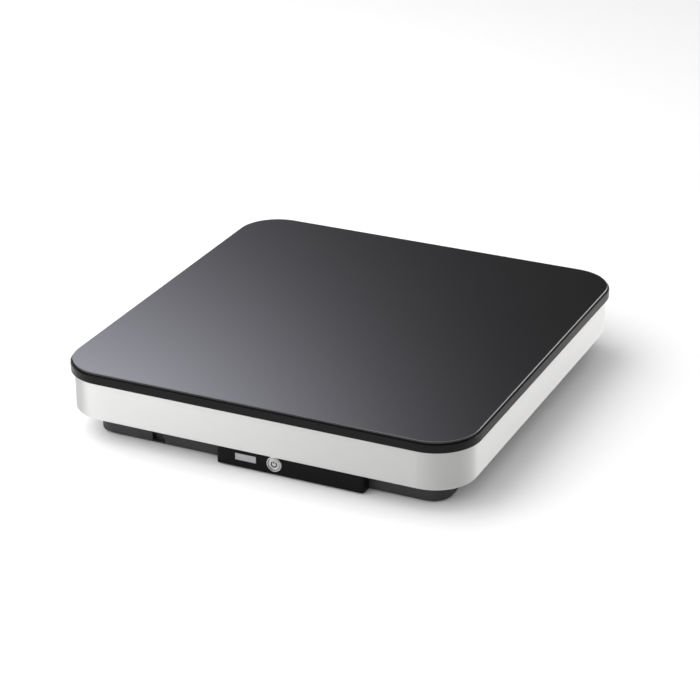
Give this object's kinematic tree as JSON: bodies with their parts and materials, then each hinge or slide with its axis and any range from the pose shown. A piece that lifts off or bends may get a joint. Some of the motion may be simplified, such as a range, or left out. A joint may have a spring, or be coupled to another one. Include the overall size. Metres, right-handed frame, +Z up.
{
  "type": "countertop cordless induction warmer",
  "caption": "Low square countertop warmer: black glass top in a black bezel, brushed steel skirt, recessed dark base tray and a slide-out battery pack with a round metal power button.",
  "frame": {"origin": "centre of the footprint, on the surface it stands on", "axes": "+Z up, -Y towards the front with the power button, +X to the right seen from the front"},
  "size_m": [0.368, 0.38, 0.0666],
  "materials": {
    "black_glass": "polished black ceramic glass",
    "silicone": "soft black silicone",
    "bezel_plastic": "satin black moulding",
    "skirt_steel": "brushed stainless sheet, grain along the sides",
    "screw_steel": "zinc-plated steel",
    "tray_plastic": "charcoal moulding with a fine spark texture",
    "foot_rubber": "matt rubber",
    "contact_metal": "plated spring metal",
    "plate_aluminium": "mill-finish aluminium",
    "carrier_plastic": "glass-filled nylon",
    "ferrite": "sintered ferrite",
    "litz": "enamelled copper litz",
    "mica": "pressed mica sheet",
    "sensor_metal": "plated metal",
    "lead_red": "silicone-covered wire",
    "lead_grey": "covered wire",
    "board_green": "solder-masked glass epoxy",
    "chip_black": "moulded epoxy",
    "capacitor_sleeve": "shrink sleeve",
    "film_yellow": "potted film capacitor",
    "choke_core": "coated iron-powder core",
    "terminal_white": "nylon",
    "fan_plastic": "black thermoplastic",
    "stator_copper": "wound copper",
    "shaft_steel": "ground steel",
    "pack_plastic": "matt black moulding",
    "face_plastic": "smooth satin black moulding",
    "badge_print": "blank brushed badge",
    "cell_wrap": "wrapped lithium cells",
    "cell_foam": "thin foam pad",
    "button_chrome": "satin metal, with a symbol",
    "switch_plastic": "black nylon"
  },
  "bodies": {
    "base": {"base_tray": "tray_plastic", "battery_bay": "carrier_plastic", "bay_connector": "carrier_plastic", "bay_springs": "contact_metal", "board_terminals": "terminal_white", "bus_capacitors": "capacitor_sleeve", "case_screws": "screw_steel", "charge_contacts": "contact_metal", "coil_carrier": "carrier_plastic", "coil_inner": "litz", "coil_leads": "lead_red", "coil_outer": "litz", "coil_plate": "plate_aluminium", "coil_plate_screws": "screw_steel", "control_board": "board_green", "control_chips": "chip_black", "dc_leads": "lead_red", "fan_housing": "fan_plastic", "fan_stator": "stator_copper", "ferrite_bars": "ferrite", "filter_choke": "choke_core", "foot_front_left": "foot_rubber", "foot_front_right": "foot_rubber", "foot_rear_left": "foot_rubber", "foot_rear_right": "foot_rubber", "glass_seal": "silicone", "glass_sensor": "sensor_metal", "glass_top": "black_glass", "heatsink": "plate_aluminium", "inner_screws": "screw_steel", "insulation_disc": "mica", "link_ribbon": "lead_grey", "power_board": "board_green", "power_transistors": "chip_black", "resonant_capacitors": "film_yellow", "sensor_holder": "silicone", "sensor_spring": "sensor_metal", "signal_leads": "lead_grey", "steel_skirt": "skirt_steel", "top_bezel": "bezel_plastic"},
    "battery_pack": {"pack_lower_shell": "pack_plastic", "pack_upper_shell": "pack_plastic", "pack_face": "face_plastic", "pack_badge": "badge_print", "pack_screws": "screw_steel", "battery_cells": "cell_wrap", "cell_pad": "cell_foam", "bus_bars": "contact_metal", "bms_board": "board_green", "pack_connector": "carrier_plastic", "pack_leads": "lead_red", "button_lead": "lead_grey", "button_ring": "button_chrome", "button_nut": "switch_plastic", "button_spring": "shaft_steel", "button_switch": "switch_plastic"},
    "power_button": {"power_button": "button_chrome"},
    "fan_rotor": {"fan_rotor": "fan_plastic", "fan_shaft": "shaft_steel"}
  },
  "joints": [
    {"name": "pack_slide", "type": "slide", "parent": "base", "child": "battery_pack", "axis": [0, -1, 0], "range_m": [0, 0.155]},
    {"name": "button_press", "type": "slide", "parent": "battery_pack", "child": "power_button", "axis": [0, 1, 0], "range_m": [0, 0.0008], "stiffness_N_per_m": 2500, "springref_m": -0.0006},
    {"name": "fan_spin", "type": "hinge", "parent": "base", "child": "fan_rotor", "pos_m": [0.1, 0.09, 0.0115], "axis": [0, 0, 1], "continuous": true}
  ]
}
